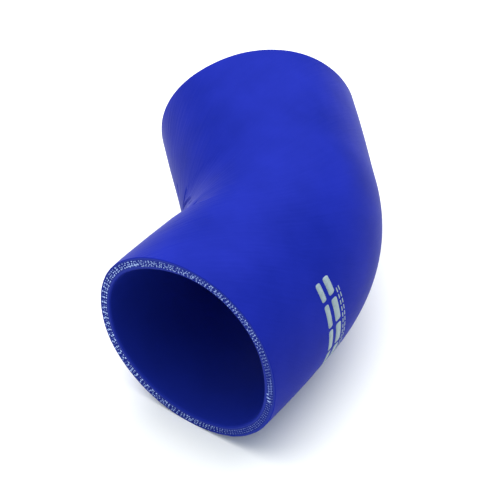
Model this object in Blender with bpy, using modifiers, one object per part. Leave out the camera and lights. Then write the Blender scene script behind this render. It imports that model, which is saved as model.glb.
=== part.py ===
"""Silicone elbow hose: a 45 degree moulded coupling for an engine's air or coolant pipes.

It is one moulded piece: a round wall that follows a straight leg, a bend and a second straight leg.
The near leg points along -Y and the far leg turns away from it towards -X. The hose lies on its side,
with the plane of the bend level, as it comes to rest on a bench. Lengths are in metres.
"""

import math

import bpy
from mathutils import Matrix, Vector

# Driving dimensions
BORE_DIAMETER = 0.076
WALL_THICKNESS = 0.005
BEND_ANGLE = math.radians(45.0)
BEND_RADIUS = 0.064  # of the centreline
NEAR_LEG = 0.070  # from the cut end to the point where the two legs' axes cross
FAR_LEG = 0.079
BEND_SQUEEZE = 0.0015  # lost from each side of the section at mid bend, in the plane of the bend
CLAMP_LAND = 0.012  # at each end, the length that stays round for a hose clamp
EDGE_ROUNDING = 0.0004

# Mesh fineness
SIDES = 60
NEAR_STEPS = 4
BEND_STEPS = 15
FAR_STEPS = 5
EDGE_SEGMENTS = 2
SHARP_ANGLE = math.radians(40.0)

# Finish
BLUE = (0.030, 0.044, 0.520, 1.0)
ROUGHNESS = 0.45
METALLIC = 0.0

# Sizes that follow from the driving dimensions
OUTER_RADIUS = BORE_DIAMETER / 2 + WALL_THICKNESS
TANGENT_LENGTH = BEND_RADIUS * math.tan(BEND_ANGLE / 2)
NEAR_STRAIGHT = NEAR_LEG - TANGENT_LENGTH
FAR_STRAIGHT = FAR_LEG - TANGENT_LENGTH
HALF_BEND_LENGTH = BEND_RADIUS * BEND_ANGLE / 2
BEND_CENTRE = Vector((-BEND_RADIUS, NEAR_STRAIGHT, 0.0))


def clear_scene():
    """Removes every object, so that the scene holds only the hose."""
    for old in list(bpy.data.objects):
        bpy.data.objects.remove(old, do_unlink=True)


def outward_at(turn):
    """The direction from the bend's centre to its outside, once the hose has turned by this angle."""
    return Vector((math.cos(turn), math.sin(turn), 0.0))


def forward_at(turn):
    """The direction along the hose, away from the near end, once it has turned by this angle."""
    return Vector((-math.sin(turn), math.cos(turn), 0.0))


def centreline():
    """Points along the hose's axis: the near leg, the bend and the far leg."""
    near_tangent = BEND_CENTRE + outward_at(0.0) * BEND_RADIUS
    far_tangent = BEND_CENTRE + outward_at(BEND_ANGLE) * BEND_RADIUS
    points = []
    for step in range(NEAR_STEPS):
        points.append(near_tangent - forward_at(0.0) * NEAR_STRAIGHT * (1 - step / NEAR_STEPS))
    for step in range(BEND_STEPS + 1):
        points.append(BEND_CENTRE + outward_at(BEND_ANGLE * step / BEND_STEPS) * BEND_RADIUS)
    for step in range(1, FAR_STEPS + 1):
        points.append(far_tangent + forward_at(BEND_ANGLE) * FAR_STRAIGHT * step / FAR_STEPS)
    return points


def skin_mesh():
    """The outer skin as an open tube: a curve along the centreline, made a mesh."""
    points = centreline()
    curve = bpy.data.curves.new("hose_centreline", "CURVE")
    curve.dimensions = "3D"
    curve.twist_mode = "Z_UP"
    curve.bevel_depth = OUTER_RADIUS
    curve.bevel_resolution = (SIDES - 4) // 2
    curve.use_fill_caps = False
    spline = curve.splines.new("POLY")
    spline.points.add(len(points) - 1)
    for spline_point, place in zip(spline.points, points):
        spline_point.co = (*place, 1.0)
    guide = bpy.data.objects.new("hose_centreline", curve)
    bpy.context.scene.collection.objects.link(guide)
    evaluated = guide.evaluated_get(bpy.context.evaluated_depsgraph_get())
    mesh = bpy.data.meshes.new_from_object(evaluated)
    bpy.data.objects.remove(guide, do_unlink=True)
    bpy.data.curves.remove(curve)
    return mesh


def ease(share):
    """A smooth step: 0 at or below 0, 1 at or above 1, level at both."""
    held = min(max(share, 0.0), 1.0)
    return held * held * (3 - 2 * held)


def squeeze_bend(mesh):
    """Narrows the section in the plane of the bend, most at mid bend, and keeps its height."""
    near_reach = NEAR_STRAIGHT + HALF_BEND_LENGTH - CLAMP_LAND
    far_reach = FAR_STRAIGHT + HALF_BEND_LENGTH - CLAMP_LAND
    for vertex in mesh.vertices:
        from_centre = vertex.co - BEND_CENTRE
        turn = min(max(math.atan2(from_centre.y, from_centre.x), 0.0), BEND_ANGLE)
        outward = outward_at(turn)
        past_tangent = from_centre.dot(forward_at(turn))
        station = (turn - BEND_ANGLE / 2) * BEND_RADIUS + past_tangent
        reach = near_reach if station < 0 else far_reach
        sideways = from_centre.dot(outward) - BEND_RADIUS
        narrowing = BEND_SQUEEZE / OUTER_RADIUS * ease(1 - abs(station) / reach)
        vertex.co -= outward * sideways * narrowing


def silicone():
    """The hose's blue silicone rubber."""
    material = bpy.data.materials.new("blue_silicone")
    material.use_nodes = True
    shader = material.node_tree.nodes["Principled BSDF"]
    shader.inputs["Base Color"].default_value = BLUE
    shader.inputs["Roughness"].default_value = ROUGHNESS
    shader.inputs["Metallic"].default_value = METALLIC
    return material


def build_hose(collection):
    """The hose: its skin, given its wall and softened cut edges."""
    mesh = skin_mesh()
    squeeze_bend(mesh)
    mesh.materials.clear()
    mesh.materials.append(silicone())
    mesh.shade_smooth()
    hose = bpy.data.objects.new("elbow_hose", mesh)
    collection.objects.link(hose)

    wall = hose.modifiers.new("wall", "SOLIDIFY")
    wall.thickness = WALL_THICKNESS
    wall.offset = -1.0
    wall.use_rim = True

    edges = hose.modifiers.new("cut_edges", "BEVEL")
    edges.width = EDGE_ROUNDING
    edges.segments = EDGE_SEGMENTS
    edges.limit_method = "ANGLE"
    edges.angle_limit = SHARP_ANGLE
    return hose


def rest_on_origin(hose):
    """Puts the middle of the hose's footprint on the origin and its underside on the ground plane."""
    evaluated = hose.evaluated_get(bpy.context.evaluated_depsgraph_get())
    corners = [Vector(corner) for corner in evaluated.bound_box]
    low = Vector([min(corner[axis] for corner in corners) for axis in range(3)])
    high = Vector([max(corner[axis] for corner in corners) for axis in range(3)])
    middle = (low + high) / 2
    hose.matrix_world = Matrix.Translation((-middle.x, -middle.y, -low.z))


def main():
    clear_scene()
    collection = bpy.data.collections.new("silicone_elbow_hose")
    bpy.context.scene.collection.children.link(collection)
    hose = build_hose(collection)
    rest_on_origin(hose)


main()
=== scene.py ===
"""Looks of a moulded silicone elbow hose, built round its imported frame. Lengths are in metres.

The hose is shaped straight first, with its own length along Z, and then laid along the near leg, the
bend and the far leg. Angles round the hose start at the outside of the bend and rise to the top.
"""

import math
import random

import bmesh
import bpy
from mathutils import Matrix, Vector, noise


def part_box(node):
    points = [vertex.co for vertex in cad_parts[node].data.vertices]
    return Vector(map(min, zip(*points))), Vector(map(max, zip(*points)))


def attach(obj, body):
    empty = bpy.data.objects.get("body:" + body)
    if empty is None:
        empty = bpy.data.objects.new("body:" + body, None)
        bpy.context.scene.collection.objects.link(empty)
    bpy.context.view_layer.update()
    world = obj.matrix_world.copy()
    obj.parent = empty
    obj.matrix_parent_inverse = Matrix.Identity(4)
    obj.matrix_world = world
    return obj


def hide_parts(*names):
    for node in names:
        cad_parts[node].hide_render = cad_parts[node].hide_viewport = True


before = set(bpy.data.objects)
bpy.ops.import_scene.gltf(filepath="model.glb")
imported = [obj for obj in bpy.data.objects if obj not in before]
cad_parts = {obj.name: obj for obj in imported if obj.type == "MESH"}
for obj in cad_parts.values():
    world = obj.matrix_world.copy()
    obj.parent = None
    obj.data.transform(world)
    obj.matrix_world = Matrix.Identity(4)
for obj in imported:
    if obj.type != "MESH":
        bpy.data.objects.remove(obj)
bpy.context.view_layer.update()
hose_low, hose_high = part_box("elbow_hose")

bl_info = {
    "name": "Silicone Elbow Hose",
    "version": (1, 0, 0),
    "blender": (4, 5, 0),
    "location": "View3D > Sidebar > Elbow Hose",
    "description": "Builds a reinforced silicone elbow hose with its cut plies, and a stage for it",
    "category": "Add Mesh",
}

# The hose's centreline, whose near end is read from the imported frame
OUTER_RADIUS = (hose_high.z - hose_low.z) / 2
NEAR_FACE = Vector((hose_high.x - OUTER_RADIUS, hose_low.y, hose_low.z + OUTER_RADIUS))
BEND_ANGLE = math.radians(45.0)
BEND_RADIUS = 0.064
NEAR_LEG = 0.070
FAR_LEG = 0.079
TANGENT_LENGTH = BEND_RADIUS * math.tan(BEND_ANGLE / 2)

# Mesh fineness of the wall, and of the patch inside the bend that is finer: its stations and angles
STEPS_AROUND = 240
SKIN_CUTS = 130
BORE_CUTS = 48
FACE_CUTS = 11
EDGE_SEGMENTS = 5
FINE_STATIONS = (0.033, 0.109)
FINE_ANGLES = (math.radians(115.0), math.radians(176.0))
FINE_CUTS = 3

# How the soft near mouth strays from a circle, at its bore and at its cover. A lobe is its count
# round the mouth, the angle of its peak and its size. All of it fades out over the reach.
MOUTH_REACH = 0.045
BORE_SWELL = 0.00008
BORE_LOBES = (
    (1, math.radians(147.0), 0.00017),
    (2, math.radians(41.0), 0.00020),
    (3, math.radians(-55.0), 0.00048),
    (4, math.radians(-32.0), 0.00016),
)
COVER_SWELL = 0.00033
COVER_LOBES = (
    (1, math.radians(-157.0), 0.00027),
    (2, math.radians(56.0), 0.00032),
    (3, math.radians(-54.0), 0.00033),
    (4, math.radians(-36.0), 0.00024),
)

# Where the liner sags into the near mouth: angle and spread in degrees, and size
BORE_SAGS = ((112.0, 44.0, 0.00070), (1.0, 36.0, 0.00068))

# Unevenness of the skin, as noise scales and places in the noise
DIP_AROUND = 1.5
DIP_ALONG = 19.0
RIPPLE_AROUND = 8.5
RIPPLE_ALONG = 42.0
DIP_PLACE = 3.1
RIPPLE_PLACE = 7.7

# The bend's drift outwards: station and half length along the hose
DRIFT_STATION = 0.074
DRIFT_HALF_LENGTH = 0.020

# Soft places in the wall: station, half length, angle and spread in degrees, and how far it stands out
SOFT_PLACES = (
    (0.150, 0.045, 40.0, 110.0, 0.00042),
    (0.150, 0.024, 150.0, 38.0, 0.00095),
    (0.128, 0.036, 203.0, 44.0, -0.00170),
    (0.104, 0.020, 196.0, 52.0, -0.00095),
    (0.038, 0.015, 160.0, 60.0, -0.00070),
    (0.004, 0.008, 150.0, 30.0, 0.00028),
    (0.027, 0.020, 333.0, 40.0, 0.00034),
    (0.100, 0.030, 14.0, 50.0, 0.00020),
    (0.138, 0.034, 13.0, 36.0, 0.00024),
    (0.150, 0.022, 140.0, 62.0, 0.00032),
    (0.000, 0.012, 207.0, 24.0, 0.00026),
    (0.000, 0.012, 299.0, 20.0, 0.00030),
)

# Folds inside the bend: start, fall and rise along the hose, angle and spread in degrees, lean per
# degree, and share of the fold's depth
FOLDS = (
    (0.0365, 0.0065, 0.038, 166.0, 62.0, 0.0, 1.0),
    (0.0352, 0.0030, 0.016, 136.0, 22.0, 0.0004, 0.8),
)

# Creases inside the bend: station and angle in degrees of both ends, depth and half width. The fade is
# how steeply a crease rises from its ends.
CREASE_FADE = 4.0
CREASES = (
    ((0.0920, 174.0), (0.0700, 152.5), 0.00048, 0.0007),
    ((0.0905, 173.0), (0.0945, 157.0), 0.00040, 0.0008),
    ((0.0900, 170.0), (0.0765, 155.0), -0.00030, 0.0006),
    ((0.0690, 158.0), (0.0595, 148.0), 0.00026, 0.0006),
    ((0.1010, 174.5), (0.1085, 170.0), 0.00026, 0.0009),
    ((0.0400, 141.0), (0.0480, 134.0), 0.00024, 0.0008),
    ((0.0365, 134.0), (0.0415, 121.0), -0.00012, 0.0007),
)

# The marks of the curing tape: radians that its wrap turns per metre, how its noise is squeezed along
# the hose, and the scale of that noise
WRAP_TWIST = 23.0
WRAP_STRETCH = 0.2
WRAP_SCALE = 430.0

# The reinforcing plies: one band of cloth rolled round the liner, from its free end inwards. Places and
# pitch are shares of the wall, and a sway is added in full at its angle and taken off opposite it. The
# liner's sags lift the band and pinch its pitch.
YARNS_PER_TURN = 180
PLY_TURNS = 3.375
PLY_MIDDLE = 0.54
PLY_SWAY = 0.035
PLY_SWAY_ANGLE = math.radians(240.0)
SAG_LIFT = 35.0
SAG_PINCH = 400.0
PLY_PITCH = 0.172
PITCH_SWAY = 0.024
PITCH_SWAY_ANGLE = math.radians(205.0)
YARN_SLANT = 0.24
YARN_SLANT_ANGLE = math.radians(195.0)
YARN_LIGHT = 0.10
YARN_LIGHT_SWAY = 0.15
YARN_LIGHT_ANGLE = math.radians(200.0)
NEAR_FREE_END = math.radians(350.0)
FAR_FREE_END = math.radians(128.0)

# Gloss as an index of refraction, low for the satin rubber
SILICONE_INDEX = 1.08
DULL_INDEX = 1.30
FLOOR_INDEX = 1.10

# Roughness of the finishes, and the range that the skin's grain gives it
SKIN_ROUGHNESS = 0.42
SKIN_ROUGHNESS_RANGE = (0.38, 0.50)
BORE_ROUGHNESS = 0.46
SAWN_ROUGHNESS = 0.62
YARN_ROUGHNESS = 0.70
INK_ROUGHNESS = 0.55
FLOOR_ROUGHNESS = 0.90

# Bumps of the finishes: strength and height
GRAIN_BUMP = (0.25, 0.00004)
WRAP_BUMP = (0.5, 0.0003)
BORE_BUMP = (0.15, 0.0004)
SAW_BUMP = (0.6, 0.00012)
FIBRE_BUMP = (0.5, 0.00004)
WEAR_BUMP = (0.2, 0.00003)

# Noise scales of the finishes
PATCH_SCALE = 34.0
GRAIN_SCALE = 1900.0
BORE_PATCH_SCALE = 60.0
SAW_SCALE = 1400.0
FIBRE_SCALE = 9000.0
WEAR_SCALE = 420.0

# How dark the shaded bore and the worn ink are, as shares of their colours
BORE_SHADE = 0.88
INK_SHADE = 0.80

# Where the saw has bundled the yarns in pairs, and where it has smeared rubber over them: middle from
# the free end, and half width. A zone eases out to a little past its half width.
PAIRED_ZONE = (math.radians(-152.0), math.radians(40.0))
SMEARED_ZONE = (math.radians(-15.0), math.radians(45.0))
ZONE_EASE = 1.6

# How cut yarns vary by chance: around the hose in their spacing, across it in the wall, stain and size
YARN_WANDER = 0.32
PLY_WANDER = 0.024
MOST_STAIN = 0.75
YARN_SIZES = (0.80, 1.12)

# What smearing takes off each of these, and the stain that it and the sway add
SMEAR_STEADIES_SPACING = 0.6
SMEAR_STEADIES_PLY = 0.8
SMEAR_EVENS_STAIN = 0.5
SMEAR_STAIN = 0.28
SMEAR_SHRINK = 0.38
SWAY_STAIN = 0.14

# In a pair, the odd yarn is stained and small, and the even one is bare and large
ODD_STAIN = 0.40
ODD_SHRINK = 0.22
EVEN_CLEAN = 0.45
EVEN_GROWTH = 0.18

# Tufts of loose cloth: angle in degrees from the free end, place in the wall and half length across it
TUFT_STAIN = 0.3
TUFT_WIDTH = 0.9
TUFT_STAND = 1.5
TUFTS = (
    (1.4, 0.50, 0.18),
    (3.9, 0.44, 0.20),
    (6.6, 0.36, 0.12),
    (135.4, 0.47, 0.11),
    (137.7, 0.44, 0.15),
    (140.3, 0.46, 0.13),
    (142.9, 0.40, 0.10),
)

# Bare cross yarns in the cut: place in the wall, first and last angle in degrees from the free end
CROSS_YARNS = (
    (0.66, 8.0, 20.0),
    (0.45, 7.0, 15.0),
)
CROSS_YARN_STAIN = 0.75
STRAND_SIDES = 8

# Fineness of a cut yarn's dome
DOME_SIDES = 8
DOME_RINGS = 4

# Seeds for the chance in each cut face's yarns
NEAR_SEED = 21
FAR_SEED = 22

# The printed bars and dashes: first and last angles in degrees, and lanes as shares of the print's width
PRINT_BARS = ((34.5, 23.5), (21.0, 6.5), (4.5, -10.0), (-12.0, -25.5), (-27.5, -41.0))
PRINT_LANES = ((0.0, 0.36), (0.64, 1.0))
PRINT_CORNER = 0.0009
PRINT_CORNER_SEGMENTS = 4
PRINT_STEP = math.radians(1.5)
DASH_ANGLES = (24.5, -25.0)
DASH_COUNT = 12
DASH_SHARE = 0.70
DASH_CORNER_SHARE = 0.3

# The stage
FLOOR_HALF_SIZE = 3.0
SENSOR_WIDTH = 36.0
SOFTBOX_SIZE = 2.4
SOFTBOX_PLACE = Vector((-0.30, 0.30, 1.30))

# Tests on the mesh: how square to the hose a cut face is, and how far off round the finer patch's flats
# may lie, as a share of the edge rounding
CUT_FACE_LEVEL = 0.9
OFF_ROUND_SHARE = 1 / 20


class HoseSizes(bpy.types.PropertyGroup):
    """Sizes of the hose."""

    outer_radius: bpy.props.FloatProperty(
        name="Outer radius",
        description="Radius over the cover, away from the bend",
        default=OUTER_RADIUS,
        unit="LENGTH",
    )
    wall: bpy.props.FloatProperty(
        name="Wall",
        description="Thickness of the liner, the plies and the cover together",
        default=0.005,
        unit="LENGTH",
    )
    bend_radius: bpy.props.FloatProperty(
        name="Bend radius",
        description="Radius of the centreline in the bend",
        default=BEND_RADIUS,
        unit="LENGTH",
    )
    bend_angle: bpy.props.FloatProperty(
        name="Bend angle",
        description="Angle between the two legs' axes",
        default=BEND_ANGLE,
        subtype="ANGLE",
        unit="ROTATION",
    )
    near_straight: bpy.props.FloatProperty(
        name="Near straight",
        description="Length from the near cut to the bend",
        default=NEAR_LEG - TANGENT_LENGTH,
        unit="LENGTH",
    )
    far_straight: bpy.props.FloatProperty(
        name="Far straight",
        description="Length from the bend to the far cut",
        default=FAR_LEG - TANGENT_LENGTH,
        unit="LENGTH",
    )
    squeeze: bpy.props.FloatProperty(
        name="Bend squeeze",
        description="Width lost on each side of the section at mid bend",
        default=0.0015,
        unit="LENGTH",
    )
    clamp_land: bpy.props.FloatProperty(
        name="Clamp land",
        description="Length at each end that isn't squeezed",
        default=0.012,
        unit="LENGTH",
    )
    edge_rounding: bpy.props.FloatProperty(
        name="Edge rounding",
        description="Radius on the outer cut edges",
        default=0.0004,
        unit="LENGTH",
    )
    lip_rounding: bpy.props.FloatProperty(
        name="Lip rounding",
        description="Radius on the inner cut edges, where the liner is dragged into the bore",
        default=0.0010,
        unit="LENGTH",
    )
    drift: bpy.props.FloatProperty(
        name="Drift",
        description="How far the bend's middle lies outside a true arc",
        default=0.0007,
        unit="LENGTH",
    )
    fold: bpy.props.FloatProperty(
        name="Fold",
        description="Depth of the fold inside the bend",
        default=0.0013,
        unit="LENGTH",
    )
    dip: bpy.props.FloatProperty(
        name="Dip",
        description="Depth of the broad unevenness of the skin",
        default=0.00022,
        unit="LENGTH",
    )
    ripple: bpy.props.FloatProperty(
        name="Ripple",
        description="Depth of the lengthwise ripples in the skin",
        default=0.00007,
        unit="LENGTH",
    )


class YarnSizes(bpy.types.PropertyGroup):
    """Sizes of the reinforcing yarns where the hose is cut."""

    half_width: bpy.props.FloatProperty(
        name="Half width",
        description="Half the width of a cut yarn round the hose",
        default=0.00040,
        unit="LENGTH",
    )
    half_depth: bpy.props.FloatProperty(
        name="Half depth",
        description="Half the size of a cut yarn across the wall",
        default=0.00031,
        unit="LENGTH",
    )
    stand: bpy.props.FloatProperty(
        name="Stand",
        description="How far a cut yarn stands out of the rubber",
        default=0.00010,
        unit="LENGTH",
    )
    strand_radius: bpy.props.FloatProperty(
        name="Strand radius",
        description="Radius of the cross yarns that lie bare in the cut",
        default=0.00011,
        unit="LENGTH",
    )


class PrintSizes(bpy.types.PropertyGroup):
    """Sizes of the plain bars printed round the near leg."""

    start: bpy.props.FloatProperty(
        name="Start",
        description="Distance of the bars from the near cut",
        default=0.0368,
        unit="LENGTH",
    )
    width: bpy.props.FloatProperty(
        name="Width",
        description="Width of the bars along the hose",
        default=0.0078,
        unit="LENGTH",
    )
    dash_gap: bpy.props.FloatProperty(
        name="Dash gap",
        description="Gap between the bars and the fine dashes beside them",
        default=0.0008,
        unit="LENGTH",
    )
    dash_spacing: bpy.props.FloatProperty(
        name="Dash spacing",
        description="Distance between the two rows of dashes",
        default=0.0009,
        unit="LENGTH",
    )
    dash_width: bpy.props.FloatProperty(
        name="Dash width",
        description="Width of the fine dashes",
        default=0.00034,
        unit="LENGTH",
    )
    film: bpy.props.FloatProperty(
        name="Film",
        description="Thickness of the ink that stands on the skin",
        default=0.00004,
        unit="LENGTH",
    )


class HoseColours(bpy.types.PropertyGroup):
    """Colours of the hose and its stage."""

    silicone: bpy.props.FloatVectorProperty(
        name="Silicone",
        description="Cover and liner rubber",
        default=(0.0100, 0.0184, 0.284),
        size=3,
        subtype="COLOR",
    )
    # The bore's colour is the cover's blue silicone made darker: painted shade for the inside of the hose
    bore: bpy.props.FloatVectorProperty(
        name="Bore",
        description="The liner inside the hose",
        default=(0.0082, 0.0182, 0.235),
        size=3,
        subtype="COLOR",
    )
    deep_silicone: bpy.props.FloatVectorProperty(
        name="Deep silicone",
        description="The darker patches in the cover rubber",
        default=(0.0060, 0.0132, 0.220),
        size=3,
        subtype="COLOR",
    )
    sawn_silicone: bpy.props.FloatVectorProperty(
        name="Sawn silicone",
        description="The rubber of the liner and the cover where they are cut",
        default=(0.0195, 0.0315, 0.255),
        size=3,
        subtype="COLOR",
    )
    bonded_ply: bpy.props.FloatVectorProperty(
        name="Bonded ply",
        description="The rubber pressed between the yarns",
        default=(0.0105, 0.0195, 0.185),
        size=3,
        subtype="COLOR",
    )
    yarn: bpy.props.FloatVectorProperty(
        name="Yarn",
        description="Cut polyester yarn",
        default=(0.430, 0.555, 0.900),
        size=3,
        subtype="COLOR",
    )
    stained_yarn: bpy.props.FloatVectorProperty(
        name="Stained yarn",
        description="Cut yarn that the rubber has covered",
        default=(0.042, 0.080, 0.390),
        size=3,
        subtype="COLOR",
    )
    ink: bpy.props.FloatVectorProperty(
        name="Ink",
        description="The pale printed bars",
        default=(0.262, 0.325, 0.355),
        size=3,
        subtype="COLOR",
    )
    floor: bpy.props.FloatVectorProperty(
        name="Floor",
        description="The plain pale floor",
        default=(0.920, 0.885, 0.870),
        size=3,
        subtype="COLOR",
    )


class StageSettings(bpy.types.PropertyGroup):
    """The camera and the lamps."""

    target: bpy.props.FloatVectorProperty(
        name="Target",
        description="The point in the middle of the picture",
        default=(0.00866, -0.01796, 0.04300),
        size=3,
        subtype="XYZ",
        unit="LENGTH",
    )
    azimuth: bpy.props.FloatProperty(
        name="Azimuth",
        description="Turn of the camera round the hose",
        default=math.radians(35.75),
        subtype="ANGLE",
        unit="ROTATION",
    )
    elevation: bpy.props.FloatProperty(
        name="Elevation",
        description="Height of the camera above the horizon",
        default=math.radians(43.01),
        subtype="ANGLE",
        unit="ROTATION",
    )
    distance: bpy.props.FloatProperty(
        name="Distance",
        description="From the camera to the target",
        default=0.8623,
        unit="LENGTH",
    )
    lens: bpy.props.FloatProperty(
        name="Lens",
        description="Focal length in millimetres",
        default=150.9,
        unit="CAMERA",
    )
    surround_colour: bpy.props.FloatVectorProperty(
        name="Surround colour",
        description="Colour of the light from all round",
        default=(0.82, 0.965, 1.00),
        size=3,
        subtype="COLOR",
    )
    surround: bpy.props.FloatProperty(
        name="Surround",
        description="Strength of the light from all round",
        default=0.82,
    )
    overhead: bpy.props.FloatProperty(
        name="Overhead",
        description="Power of the large softbox above",
        default=46.5,
        unit="POWER",
    )


def soft_step(share):
    """A smooth step: 0 at or below 0, 1 at or above 1, level at both."""
    held = min(max(share, 0.0), 1.0)
    return held * held * (3 - 2 * held)


def apart(angle, other):
    """The angle between two directions round the hose, from 0 to half a turn."""
    return abs(math.remainder(angle - other, math.tau))


def hose_length(sizes):
    """Length of the centreline."""
    return sizes.near_straight + sizes.bend_radius * sizes.bend_angle + sizes.far_straight


def section_at(sizes, station):
    """The section's centre and outward and forward directions, at a distance from the near cut."""
    arc = sizes.bend_radius * sizes.bend_angle
    past_near = station - sizes.near_straight
    turn = min(max(past_near / sizes.bend_radius, 0.0), sizes.bend_angle)
    outward = Vector((math.cos(turn), math.sin(turn), 0.0))
    forward = Vector((-math.sin(turn), math.cos(turn), 0.0))
    straight = min(past_near, 0.0) + max(past_near - arc, 0.0)
    bend_centre = NEAR_FACE + Vector((-sizes.bend_radius, sizes.near_straight, 0.0))
    return bend_centre + outward * sizes.bend_radius + forward * straight, outward, forward


def narrowing_at(sizes, station):
    """The share of its width that the section loses to the bend."""
    half_arc = sizes.bend_radius * sizes.bend_angle / 2
    from_middle = station - sizes.near_straight - half_arc
    straight = sizes.near_straight if from_middle < 0 else sizes.far_straight
    reach = straight + half_arc - sizes.clamp_land
    return sizes.squeeze / sizes.outer_radius * soft_step(1 - abs(from_middle) / reach)


def hump(station, middle, half_length):
    """A smooth rise along the hose: 1 at its middle, and a third at its half length."""
    along = (station - middle) / half_length
    return math.exp(-along * along)


def lobed(angle, swell, lobes):
    """How far a lobed outline stands outside a circle."""
    return swell + sum(size * math.cos(count * (angle - peak)) for count, peak, size in lobes)


def sag_at(angle):
    """How far the soft liner sags into the bore beside the near mouth."""
    total = 0.0
    for degrees, spread, size in BORE_SAGS:
        total += size * soft_step(1 - apart(angle, math.radians(degrees)) / math.radians(spread))
    return total


def folded_share(angle, station):
    """How much of the fold's depth the wall gets inside the bend."""
    total = 0.0
    for start, fall, rise, degrees, spread, lean, share in FOLDS:
        away = math.degrees(angle) % 360 - degrees
        beyond = station - start + lean * away
        dropped = soft_step(beyond / fall) - soft_step((beyond - fall) / rise)
        total += share * soft_step(1 - abs(away) / spread) * dropped
    return total


def wall_shift(sizes, angle, station, depth):
    """How far the wall stands outside a true tube. The depth is 0 at the bore and 1 at the skin."""
    near = soft_step(1 - station / MOUTH_REACH)
    bore_shift = lobed(angle, BORE_SWELL, BORE_LOBES) - sag_at(angle)
    cover_shift = lobed(angle, COVER_SWELL, COVER_LOBES)
    shift = near * (bore_shift + depth * (cover_shift - bore_shift))
    for middle, half_length, degrees, spread, size in SOFT_PLACES:
        share = soft_step(1 - apart(angle, math.radians(degrees)) / math.radians(spread))
        shift += size * share * hump(station, middle, half_length)
    return shift - sizes.fold * folded_share(angle, station)


def crease_share(radius, angle, station, ends, half_width):
    """How much of a crease's depth the skin gets: 1 on its line, fading across it and at its ends."""
    first, last = (Vector((place, math.radians(degrees) * radius)) for place, degrees in ends)
    point = Vector((station, (angle % math.tau) * radius)) - first
    line = last - first
    along = point.dot(line) / line.length_squared
    held = min(max(along, 0.0), 1.0)
    across = (point - line * held).length / half_width
    ends_share = soft_step(CREASE_FADE * held) * soft_step(CREASE_FADE * (1 - held))
    return math.exp(-across * across) * ends_share


def skin_drop(sizes, angle, station):
    """How far the skin lies inside a true tube: broad dips, ripples and the bend's creases."""
    around = Vector((math.cos(angle), math.sin(angle), 0.0))
    dip = noise.noise(around * DIP_AROUND + Vector((DIP_PLACE, 0.0, station * DIP_ALONG)))
    ripple = noise.noise(around * RIPPLE_AROUND + Vector((0.0, RIPPLE_PLACE, station * RIPPLE_ALONG)))
    drop = sizes.dip * (0.5 + 0.5 * dip) + sizes.ripple * (0.5 + 0.5 * ripple)
    for start, end, depth, half_width in CREASES:
        drop += depth * crease_share(sizes.outer_radius, angle, station, (start, end), half_width)
    return drop


def hose_point(sizes, radius, angle, station):
    """Where a point of the straight hose lies in the bent one, which is flat where it meets the floor."""
    centre, outward, _ = section_at(sizes, station)
    bore_radius = sizes.outer_radius - sizes.wall
    depth = min(max((radius - bore_radius) / sizes.wall, 0.0), 1.0)
    held = radius + wall_shift(sizes, angle, station, depth) - depth * skin_drop(sizes, angle, station)
    sideways = held * math.cos(angle) * (1 - narrowing_at(sizes, station))
    sideways += sizes.drift * hump(station, DRIFT_STATION, DRIFT_HALF_LENGTH)
    place = centre + outward * sideways + Vector((0.0, 0.0, held * math.sin(angle)))
    place.z = max(place.z, 0.0)
    return place


def lay_along_hose(mesh_data, sizes):
    """Moves a mesh from the straight hose, whose length is along Z, into the bent one."""
    for vertex in mesh_data.verts:
        radius = math.hypot(vertex.co.x, vertex.co.y)
        angle = math.atan2(vertex.co.y, vertex.co.x)
        vertex.co = hose_point(sizes, radius, angle, vertex.co.z)


def finish_piece(mesh_data, name, materials):
    """Makes a bmesh an object at the origin, with its materials, riding on the hose's body."""
    mesh = bpy.data.meshes.new(name)
    mesh_data.to_mesh(mesh)
    mesh_data.free()
    mesh.shade_smooth()
    for material in materials:
        mesh.materials.append(material)
    piece = bpy.data.objects.new(name, mesh)
    bpy.context.scene.collection.objects.link(piece)
    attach(piece, "root")
    return piece


def new_material(name, colour, roughness, index=DULL_INDEX):
    """A material with its Principled shader set, and that shader."""
    material = bpy.data.materials.new(name)
    material.use_nodes = True
    shader = material.node_tree.nodes["Principled BSDF"]
    shader.inputs["Base Color"].default_value = (*colour, 1.0)
    shader.inputs["Roughness"].default_value = roughness
    shader.inputs["IOR"].default_value = index
    return material, shader


def noise_on_object(tree, scale, detail=3.0):
    """A noise texture on the object's own coordinates."""
    place = tree.nodes.new("ShaderNodeTexCoord")
    texture = tree.nodes.new("ShaderNodeTexNoise")
    texture.inputs["Scale"].default_value = scale
    texture.inputs["Detail"].default_value = detail
    tree.links.new(place.outputs["Object"], texture.inputs["Vector"])
    return texture


def add_bump(tree, shader, height, strength, distance):
    """Roughens a shader's surface with a texture's height, over any bump that it has."""
    bump = tree.nodes.new("ShaderNodeBump")
    bump.inputs["Strength"].default_value = strength
    bump.inputs["Distance"].default_value = distance
    tree.links.new(height, bump.inputs["Height"])
    if shader.inputs["Normal"].is_linked:
        earlier = shader.inputs["Normal"].links[0].from_socket
        tree.links.new(earlier, bump.inputs["Normal"])
    tree.links.new(bump.outputs["Normal"], shader.inputs["Normal"])


def set_range(tree, source, target, low, high):
    """Feeds a socket from a 0 to 1 value, spread between two values."""
    spread = tree.nodes.new("ShaderNodeMapRange")
    spread.inputs["To Min"].default_value = low
    spread.inputs["To Max"].default_value = high
    tree.links.new(source, spread.inputs["Value"])
    tree.links.new(spread.outputs["Result"], target)


def set_ramp(tree, source, target, stops):
    """Feeds a colour socket from a 0 to 1 value through a ramp of (position, colour) stops."""
    ramp = tree.nodes.new("ShaderNodeValToRGB")
    elements = ramp.color_ramp.elements
    while len(elements) < len(stops):
        elements.new(0.5)
    for element, (position, colour) in zip(elements, stops):
        element.position = position
        element.color = (*colour, 1.0)
    tree.links.new(source, ramp.inputs["Fac"])
    tree.links.new(ramp.outputs["Color"], target)


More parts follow.
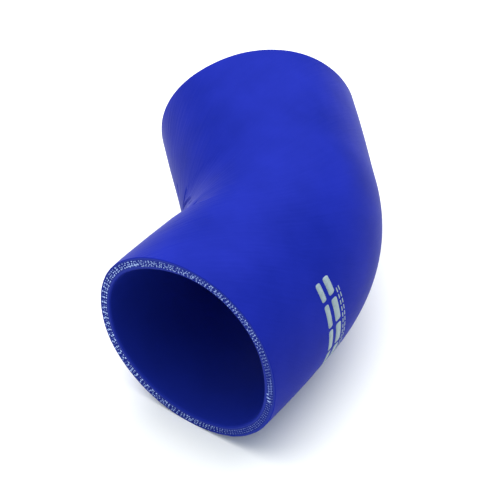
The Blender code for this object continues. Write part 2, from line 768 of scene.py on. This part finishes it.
def silicone_skin(colours):
    """The satin cover: blue rubber with faint patches, a fine grain and the curing tape's marks."""
    material, shader = new_material("silicone_skin", colours.silicone, SKIN_ROUGHNESS, SILICONE_INDEX)
    tree = material.node_tree
    patches = noise_on_object(tree, PATCH_SCALE, 4.0)
    stops = ((0.30, colours.deep_silicone), (0.70, colours.silicone))
    set_ramp(tree, patches.outputs["Fac"], shader.inputs["Base Color"], stops)
    grain = noise_on_object(tree, GRAIN_SCALE, 2.0)
    set_range(tree, grain.outputs["Fac"], shader.inputs["Roughness"], *SKIN_ROUGHNESS_RANGE)
    add_bump(tree, shader, grain.outputs["Fac"], *GRAIN_BUMP)
    wrap = tree.nodes.new("ShaderNodeAttribute")
    wrap.attribute_name = "wrap_place"
    marks = tree.nodes.new("ShaderNodeTexNoise")
    marks.inputs["Scale"].default_value = WRAP_SCALE
    marks.inputs["Detail"].default_value = 2.0
    tree.links.new(wrap.outputs["Vector"], marks.inputs["Vector"])
    add_bump(tree, shader, marks.outputs["Fac"], *WRAP_BUMP)
    return material


def bore_silicone_painted_shade(colours):
    """The smooth liner inside the hose: its blue silicone, made darker than the same rubber on the cover
    as painted shade for the inside.
    """
    material, shader = new_material("bore_silicone_painted_shade", colours.bore, BORE_ROUGHNESS, SILICONE_INDEX)
    tree = material.node_tree
    patches = noise_on_object(tree, BORE_PATCH_SCALE)
    shaded = [part * BORE_SHADE for part in colours.bore]
    stops = ((0.30, shaded), (0.75, colours.bore))
    set_ramp(tree, patches.outputs["Fac"], shader.inputs["Base Color"], stops)
    add_bump(tree, shader, patches.outputs["Fac"], *BORE_BUMP)
    return material


def cut_wall(colours):
    """The sawn end: liner and cover in plain blue, and darker rubber between the plies."""
    material, shader = new_material("cut_wall", colours.sawn_silicone, SAWN_ROUGHNESS, SILICONE_INDEX)
    tree = material.node_tree
    depth = tree.nodes.new("ShaderNodeAttribute")
    depth.attribute_name = "ply_depth"
    stops = (
        (0.28, colours.sawn_silicone),
        (0.36, colours.bonded_ply),
        (0.64, colours.bonded_ply),
        (0.72, colours.sawn_silicone),
    )
    set_ramp(tree, depth.outputs["Fac"], shader.inputs["Base Color"], stops)
    saw_marks = noise_on_object(tree, SAW_SCALE, 4.0)
    add_bump(tree, shader, saw_marks.outputs["Fac"], *SAW_BUMP)
    return material


def cut_yarn(colours):
    """Polyester yarn ends, some of them smeared with rubber."""
    material, shader = new_material("cut_yarn", colours.yarn, YARN_ROUGHNESS)
    tree = material.node_tree
    stain = tree.nodes.new("ShaderNodeAttribute")
    stain.attribute_name = "rubber_stain"
    stops = ((0.0, colours.yarn), (1.0, colours.stained_yarn))
    set_ramp(tree, stain.outputs["Fac"], shader.inputs["Base Color"], stops)
    fibres = noise_on_object(tree, FIBRE_SCALE, 2.0)
    add_bump(tree, shader, fibres.outputs["Fac"], *FIBRE_BUMP)
    return material


def printed_ink(colours):
    """Flat pale ink, slightly worn."""
    material, shader = new_material("printed_ink", colours.ink, INK_ROUGHNESS)
    tree = material.node_tree
    wear = noise_on_object(tree, WEAR_SCALE, 5.0)
    worn = [part * INK_SHADE for part in colours.ink]
    stops = ((0.30, worn), (0.48, colours.ink))
    set_ramp(tree, wear.outputs["Fac"], shader.inputs["Base Color"], stops)
    add_bump(tree, shader, wear.outputs["Fac"], *WEAR_BUMP)
    return material


def wall_profile(mesh_data, sizes):
    """The cut through one side of the straight wall, with rounded corners and fine long edges."""
    bore_radius = sizes.outer_radius - sizes.wall
    length = hose_length(sizes)
    corners = (
        (bore_radius, 0.0),
        (sizes.outer_radius, 0.0),
        (sizes.outer_radius, length),
        (bore_radius, length),
    )
    verts = [mesh_data.verts.new((radius, 0.0, station)) for radius, station in corners]
    for first, second in zip(verts, verts[1:] + verts[:1]):
        mesh_data.edges.new((first, second))
    rounded = ((sizes.lip_rounding, (verts[0], verts[3])), (sizes.edge_rounding, (verts[1], verts[2])))
    for rounding, sharp in rounded:
        bmesh.ops.bevel(
            mesh_data,
            geom=list(sharp),
            offset=rounding,
            segments=EDGE_SEGMENTS,
            profile=0.5,
            affect="VERTICES",
            material=-1,
        )
    middle = bore_radius + sizes.wall / 2
    skin_edges, bore_edges, face_edges = [], [], []
    for edge in mesh_data.edges:
        if edge.calc_length() < sizes.wall / 2:
            continue
        first, second = (vert.co for vert in edge.verts)
        if abs(first.z - second.z) < sizes.wall:
            face_edges.append(edge)
        elif first.x > middle:
            skin_edges.append(edge)
        else:
            bore_edges.append(edge)
    for edges, cuts in ((skin_edges, SKIN_CUTS), (bore_edges, BORE_CUTS), (face_edges, FACE_CUTS)):
        bmesh.ops.subdivide_edges(mesh_data, edges=edges, cuts=cuts)


def refine_fold(mesh_data, sizes):
    """Cuts the skin finer inside the bend, where it is creased."""
    patch = []
    for edge in mesh_data.edges:
        middle = (edge.verts[0].co + edge.verts[1].co) / 2
        angle = math.atan2(middle.y, middle.x) % math.tau
        on_skin = middle.xy.length > sizes.outer_radius - sizes.edge_rounding / 2
        in_length = FINE_STATIONS[0] < middle.z < FINE_STATIONS[1]
        if on_skin and in_length and FINE_ANGLES[0] < angle < FINE_ANGLES[1]:
            patch.append(edge)
    bmesh.ops.subdivide_edges(mesh_data, edges=patch, cuts=FINE_CUTS, use_grid_fill=True)
    for vert in mesh_data.verts:
        off_round = sizes.outer_radius - vert.co.xy.length
        if 0 < off_round < sizes.edge_rounding * OFF_ROUND_SHARE:
            vert.co.xy *= sizes.outer_radius / vert.co.xy.length


def mark_faces(mesh_data, sizes):
    """Gives the skin, the bore and the cut faces their material slots: 0, 1 and 2."""
    middle = sizes.outer_radius - sizes.wall / 2
    for face in mesh_data.faces:
        if abs(face.normal.z) > CUT_FACE_LEVEL:
            face.material_index = 2
        elif face.calc_center_median().xy.length < middle:
            face.material_index = 1


def ply_pitch(angle):
    """The distance from one ply to the next, as a share of the wall."""
    pitch = PLY_PITCH + PITCH_SWAY * math.cos(angle - PITCH_SWAY_ANGLE)
    return pitch * (1 - SAG_PINCH * sag_at(angle))


def ply_place(turns, free_end):
    """The place of the rolled cloth in the wall, from 0 at the bore to 1 at the skin."""
    angle = free_end + turns * math.tau
    middle = PLY_MIDDLE + PLY_SWAY * math.cos(angle - PLY_SWAY_ANGLE) + SAG_LIFT * sag_at(angle)
    return middle + ply_pitch(angle) * (PLY_TURNS / 2 - turns)


def mark_wrap(mesh_data):
    """Stores on each vertex its place in the curing tape's wrap, whose marks run aslant round the skin."""
    layer = mesh_data.verts.layers.float_vector.new("wrap_place")
    for vert in mesh_data.verts:
        place = Matrix.Rotation(vert.co.z * WRAP_TWIST, 3, "Z") @ vert.co
        place.z *= WRAP_STRETCH
        vert[layer] = place


def mark_plies(mesh_data, sizes, free_ends):
    """Stores how deep each vertex lies in the cut plies: a third at their inside, two at their outside."""
    layer = mesh_data.verts.layers.float.new("ply_depth")
    bore_radius = sizes.outer_radius - sizes.wall
    middle = hose_length(sizes) / 2
    for vert in mesh_data.verts:
        free_end = free_ends[0] if vert.co.z < middle else free_ends[1]
        angle = math.atan2(vert.co.y, vert.co.x)
        turns = (angle - free_end) % math.tau / math.tau
        margin = ply_pitch(angle) / 2
        outside = ply_place(turns, free_end) + margin
        inside = ply_place(turns + math.floor(PLY_TURNS - turns), free_end) - margin
        fraction = (vert.co.xy.length - bore_radius) / sizes.wall
        share = (fraction - inside) / (outside - inside)
        vert[layer] = min(max((share + 1) / 3, 0.0), 1.0)


class HOSE_OT_wall(bpy.types.Operator):
    """Builds the hose's wall: the skin, the bore and both cut faces"""

    bl_idname = "hose.wall"
    bl_label = "Build Wall"

    def execute(self, context):
        sizes = context.scene.hose_sizes
        colours = context.scene.hose_colours
        mesh_data = bmesh.new()
        wall_profile(mesh_data, sizes)
        bmesh.ops.spin(
            mesh_data,
            geom=mesh_data.verts[:] + mesh_data.edges[:],
            cent=(0.0, 0.0, 0.0),
            axis=(0.0, 0.0, 1.0),
            angle=math.tau,
            steps=STEPS_AROUND,
            use_merge=True,
            use_duplicate=False,
        )
        refine_fold(mesh_data, sizes)
        bmesh.ops.recalc_face_normals(mesh_data, faces=mesh_data.faces[:])
        mark_faces(mesh_data, sizes)
        mark_wrap(mesh_data)
        mark_plies(mesh_data, sizes, (NEAR_FREE_END, FAR_FREE_END))
        lay_along_hose(mesh_data, sizes)
        materials = (silicone_skin(colours), bore_silicone_painted_shade(colours), cut_wall(colours))
        wall = finish_piece(mesh_data, "hose_wall", materials)
        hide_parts("elbow_hose")
        return {"FINISHED"}


def dome_mesh():
    """One cut yarn as a small round dome, with a place for its stain."""
    mesh_data = bmesh.new()
    mesh_data.verts.layers.float.new("rubber_stain")
    bmesh.ops.create_uvsphere(mesh_data, u_segments=DOME_SIDES, v_segments=DOME_RINGS, radius=1.0)
    dome = bpy.data.meshes.new("dome")
    mesh_data.to_mesh(dome)
    mesh_data.free()
    return dome


def add_yarn_end(mesh_data, dome, sizes, place, angle, half_sizes, stain):
    """Adds one cut yarn to a cut face. Its place is a radius and a station."""
    radius, station = place
    centre = hose_point(sizes, radius, angle, station)
    outside = hose_point(sizes, radius + half_sizes[1], angle, station)
    _, _, forward = section_at(sizes, station)
    across = (outside - centre).normalized()
    around = forward.cross(across)
    turn = Matrix((around, across, forward)).transposed().to_4x4()
    placed = dome.copy()
    placed.transform(Matrix.Translation(centre) @ turn @ Matrix.Diagonal((*half_sizes, 1.0)))
    placed.attributes["rubber_stain"].data.foreach_set("value", [stain] * len(placed.vertices))
    mesh_data.from_mesh(placed)
    bpy.data.meshes.remove(placed)


def share_of_zone(angle, zone, free_end):
    """1 in the middle of a zone given from the free end, easing to 0 past its half width."""
    middle, half_width = zone
    return soft_step(ZONE_EASE - apart(angle, free_end + middle) / half_width)


def cut_yarns(sizes, yarns, dome, station, free_end, seed):
    """All yarn ends of one cut face, as one bmesh: a spiral of domes from the free end inwards."""
    chance = random.Random(seed)
    mesh_data = bmesh.new()
    bore_radius = sizes.outer_radius - sizes.wall
    for number in range(int(YARNS_PER_TURN * PLY_TURNS)):
        turns = number / YARNS_PER_TURN
        angle = free_end + turns * math.tau
        smeared = share_of_zone(angle, SMEARED_ZONE, free_end)
        paired = share_of_zone(angle, PAIRED_ZONE, free_end)
        inward = turns - PLY_TURNS / 2
        sway = math.cos(angle - YARN_LIGHT_ANGLE)
        light = YARN_LIGHT + YARN_LIGHT_SWAY * sway
        slant = YARN_SLANT * math.cos(2 * (angle - YARN_SLANT_ANGLE))
        wander = chance.uniform(-YARN_WANDER, YARN_WANDER) * (1 - SMEAR_STEADIES_SPACING * smeared)
        angle += (wander - slant * inward) / YARNS_PER_TURN * math.tau
        across = chance.uniform(-PLY_WANDER, PLY_WANDER) * (1 - SMEAR_STEADIES_PLY * smeared)
        fraction = ply_place(turns, free_end) + across
        stain = chance.uniform(0.0, MOST_STAIN) * (1 - SMEAR_EVENS_STAIN * smeared)
        stain += SMEAR_STAIN * smeared - SWAY_STAIN * sway - light * inward
        size = chance.uniform(*YARN_SIZES) * (1 - SMEAR_SHRINK * smeared)
        if number % 2:
            stain += ODD_STAIN * paired
            size *= 1 - ODD_SHRINK * paired
        else:
            stain -= EVEN_CLEAN * paired
            size *= 1 + EVEN_GROWTH * paired
        stain = min(max(stain, 0.0), 1.0)
        half_depth = yarns.half_depth * size * ply_pitch(angle) / PLY_PITCH
        half_sizes = (yarns.half_width * size, half_depth, yarns.stand)
        place = (bore_radius + fraction * sizes.wall, station)
        add_yarn_end(mesh_data, dome, sizes, place, angle, half_sizes, stain)
    for degrees, fraction, half_length in TUFTS:
        angle = free_end + math.radians(degrees)
        half_sizes = (yarns.half_width * TUFT_WIDTH, half_length * sizes.wall, yarns.stand * TUFT_STAND)
        place = (bore_radius + fraction * sizes.wall, station)
        add_yarn_end(mesh_data, dome, sizes, place, angle, half_sizes, TUFT_STAIN)
    return mesh_data


def add_cross_yarns(mesh_data, sizes, yarns, station, free_end):
    """Adds the cross yarns that lie bare along the rows of one cut face."""
    bore_radius = sizes.outer_radius - sizes.wall
    for fraction, first, last in CROSS_YARNS:
        strand = bmesh.new()
        layer = strand.verts.layers.float.new("rubber_stain")
        radius = bore_radius + fraction * sizes.wall
        turn = Matrix.Rotation(math.pi / 2, 4, "X")
        start = Matrix.Rotation(free_end + math.radians(first), 4, "Z")
        placed = start @ Matrix.Translation((radius, 0.0, station)) @ turn
        bmesh.ops.create_circle(
            strand,
            cap_ends=True,
            segments=STRAND_SIDES,
            radius=yarns.strand_radius,
            matrix=placed,
        )
        bmesh.ops.spin(
            strand,
            geom=strand.verts[:] + strand.edges[:] + strand.faces[:],
            cent=(0.0, 0.0, 0.0),
            axis=(0.0, 0.0, 1.0),
            angle=math.radians(last - first),
            steps=round(last - first),
            use_duplicate=False,
        )
        bmesh.ops.recalc_face_normals(strand, faces=strand.faces[:])
        for vert in strand.verts:
            vert[layer] = CROSS_YARN_STAIN
        lay_along_hose(strand, sizes)
        mesh = bpy.data.meshes.new("strand")
        strand.to_mesh(mesh)
        strand.free()
        mesh_data.from_mesh(mesh)
        bpy.data.meshes.remove(mesh)


class HOSE_OT_yarns(bpy.types.Operator):
    """Builds the cut ends of the reinforcing yarns on both faces"""

    bl_idname = "hose.yarns"
    bl_label = "Build Yarn Ends"

    def execute(self, context):
        sizes = context.scene.hose_sizes
        yarns = context.scene.yarn_sizes
        material = cut_yarn(context.scene.hose_colours)
        ends = (
            ("near_yarn_ends", 0.0, NEAR_FREE_END, NEAR_SEED),
            ("far_yarn_ends", hose_length(sizes), FAR_FREE_END, FAR_SEED),
        )
        dome = dome_mesh()
        for name, station, free_end, seed in ends:
            mesh_data = cut_yarns(sizes, yarns, dome, station, free_end, seed)
            add_cross_yarns(mesh_data, sizes, yarns, station, free_end)
            finish_piece(mesh_data, name, [material])
        bpy.data.meshes.remove(dome)
        return {"FINISHED"}


def add_printed_bar(mesh_data, sizes, angles, stations, corner, film):
    """Adds a thin bar of ink round the hose, with rounded corners, laid flat first and then bent."""
    flat = bmesh.new()
    first, last = (math.radians(angle) * sizes.outer_radius for angle in sorted(angles))
    low, high = stations
    centre = Vector(((first + last) / 2, (low + high) / 2, 0.0))
    size = Matrix.Diagonal(((last - first) / 2, (high - low) / 2, 1.0, 1.0))
    placed = Matrix.Translation(centre) @ size
    bmesh.ops.create_grid(flat, x_segments=1, y_segments=1, size=1.0, matrix=placed)
    bmesh.ops.bevel(
        flat,
        geom=flat.verts[:],
        offset=corner,
        segments=PRINT_CORNER_SEGMENTS,
        profile=0.5,
        affect="VERTICES",
        material=-1,
    )
    step = PRINT_STEP * sizes.outer_radius
    for number in range(1, math.ceil((last - first) / step)):
        bmesh.ops.bisect_plane(
            flat,
            geom=flat.verts[:] + flat.edges[:] + flat.faces[:],
            plane_co=(first + number * step, 0.0, 0.0),
            plane_no=(1.0, 0.0, 0.0),
        )
    raised = bmesh.ops.extrude_face_region(flat, geom=flat.faces[:])
    top = [element for element in raised["geom"] if isinstance(element, bmesh.types.BMVert)]
    bmesh.ops.translate(flat, verts=top, vec=(0.0, 0.0, 2 * film))
    bmesh.ops.recalc_face_normals(flat, faces=flat.faces[:])
    for vert in flat.verts:
        radius = sizes.outer_radius - film + vert.co.z
        vert.co = hose_point(sizes, radius, vert.co.x / sizes.outer_radius, vert.co.y)
    bar = bpy.data.meshes.new("bar")
    flat.to_mesh(bar)
    flat.free()
    mesh_data.from_mesh(bar)
    bpy.data.meshes.remove(bar)


class HOSE_OT_print(bpy.types.Operator):
    """Builds the plain printed bars round the near leg"""

    bl_idname = "hose.print"
    bl_label = "Build Printed Bars"

    def execute(self, context):
        sizes = context.scene.hose_sizes
        marks = context.scene.print_sizes
        mesh_data = bmesh.new()
        for low, high in PRINT_LANES:
            lane = (marks.start + low * marks.width, marks.start + high * marks.width)
            for angles in PRINT_BARS:
                add_printed_bar(mesh_data, sizes, angles, lane, PRINT_CORNER, marks.film)
        first, last = DASH_ANGLES
        step = (last - first) / DASH_COUNT
        corner = DASH_CORNER_SHARE * marks.dash_width
        for shift in (0.0, marks.dash_spacing):
            edge = marks.start + marks.width + marks.dash_gap + shift
            for number in range(DASH_COUNT):
                start = first + number * step
                angles = (start, start + DASH_SHARE * step)
                lane = (edge, edge + marks.dash_width)
                add_printed_bar(mesh_data, sizes, angles, lane, corner, marks.film)
        finish_piece(mesh_data, "printed_bars", [printed_ink(context.scene.hose_colours)])
        return {"FINISHED"}


def add_softbox(name, place, size, power, aim):
    """Adds a square area lamp that faces a point."""
    lamp = bpy.data.lights.new(name, "AREA")
    lamp.shape = "SQUARE"
    lamp.size = size
    lamp.energy = power
    softbox = bpy.data.objects.new(name, lamp)
    softbox.location = place
    softbox.rotation_euler = (aim - place).to_track_quat("-Z", "Y").to_euler()
    bpy.context.scene.collection.objects.link(softbox)


class HOSE_OT_stage(bpy.types.Operator):
    """Builds the floor, the light and the camera"""

    bl_idname = "hose.stage"
    bl_label = "Build Stage"

    def execute(self, context):
        scene = context.scene
        stage = scene.hose_stage
        target = Vector(stage.target)

        mesh_data = bmesh.new()
        bmesh.ops.create_grid(mesh_data, x_segments=4, y_segments=4, size=FLOOR_HALF_SIZE)
        mesh = bpy.data.meshes.new("floor")
        mesh_data.to_mesh(mesh)
        mesh_data.free()
        paint = scene.hose_colours.floor
        floor_paint, _ = new_material("floor_paint", paint, FLOOR_ROUGHNESS, FLOOR_INDEX)
        mesh.materials.append(floor_paint)
        floor = bpy.data.objects.new("floor", mesh)
        scene.collection.objects.link(floor)

        world = bpy.data.worlds.new("surround")
        world.use_nodes = True
        background = world.node_tree.nodes["Background"]
        background.inputs["Color"].default_value = (*stage.surround_colour, 1.0)
        background.inputs["Strength"].default_value = stage.surround
        scene.world = world
        add_softbox("overhead_softbox", SOFTBOX_PLACE, SOFTBOX_SIZE, stage.overhead, target)

        level = math.cos(stage.elevation)
        height = math.sin(stage.elevation)
        away = Vector((math.sin(stage.azimuth) * level, -math.cos(stage.azimuth) * level, height))
        data = bpy.data.cameras.new("camera")
        data.sensor_width = SENSOR_WIDTH
        data.lens = stage.lens
        camera = bpy.data.objects.new("camera", data)
        camera.location = target + away * stage.distance
        camera.rotation_euler = (-away).to_track_quat("-Z", "Y").to_euler()
        scene.collection.objects.link(camera)
        scene.camera = camera
        scene.view_settings.view_transform = "Standard"
        return {"FINISHED"}


class HOSE_PT_panel(bpy.types.Panel):
    """Lists the pieces of the hose"""

    bl_idname = "HOSE_PT_panel"
    bl_label = "Elbow Hose"
    bl_space_type = "VIEW_3D"
    bl_region_type = "UI"
    bl_category = "Elbow Hose"

    def draw(self, context):
        layout = self.layout
        for operator in OPERATORS:
            layout.operator(operator.bl_idname)
        for group in SETTINGS:
            settings = getattr(context.scene, group)
            for name in settings.bl_rna.properties.keys():
                if name not in {"rna_type", "name"}:
                    layout.prop(settings, name)


SETTINGS = {
    "hose_sizes": HoseSizes,
    "yarn_sizes": YarnSizes,
    "print_sizes": PrintSizes,
    "hose_colours": HoseColours,
    "hose_stage": StageSettings,
}
OPERATORS = (HOSE_OT_wall, HOSE_OT_yarns, HOSE_OT_print, HOSE_OT_stage)
CLASSES = (*SETTINGS.values(), *OPERATORS, HOSE_PT_panel)


def register():
    """Adds the classes and the scene's settings."""
    for new_class in CLASSES:
        bpy.utils.register_class(new_class)
    for name, group in SETTINGS.items():
        setattr(bpy.types.Scene, name, bpy.props.PointerProperty(type=group))


def unregister():
    """Takes them away again."""
    for name in SETTINGS:
        delattr(bpy.types.Scene, name)
    for old_class in reversed(CLASSES):
        bpy.utils.unregister_class(old_class)


def main():
    """Builds every piece and the stage."""
    register()
    bpy.ops.hose.wall()
    bpy.ops.hose.yarns()
    bpy.ops.hose.print()
    bpy.ops.hose.stage()


if __name__ == "__main__":
    main()
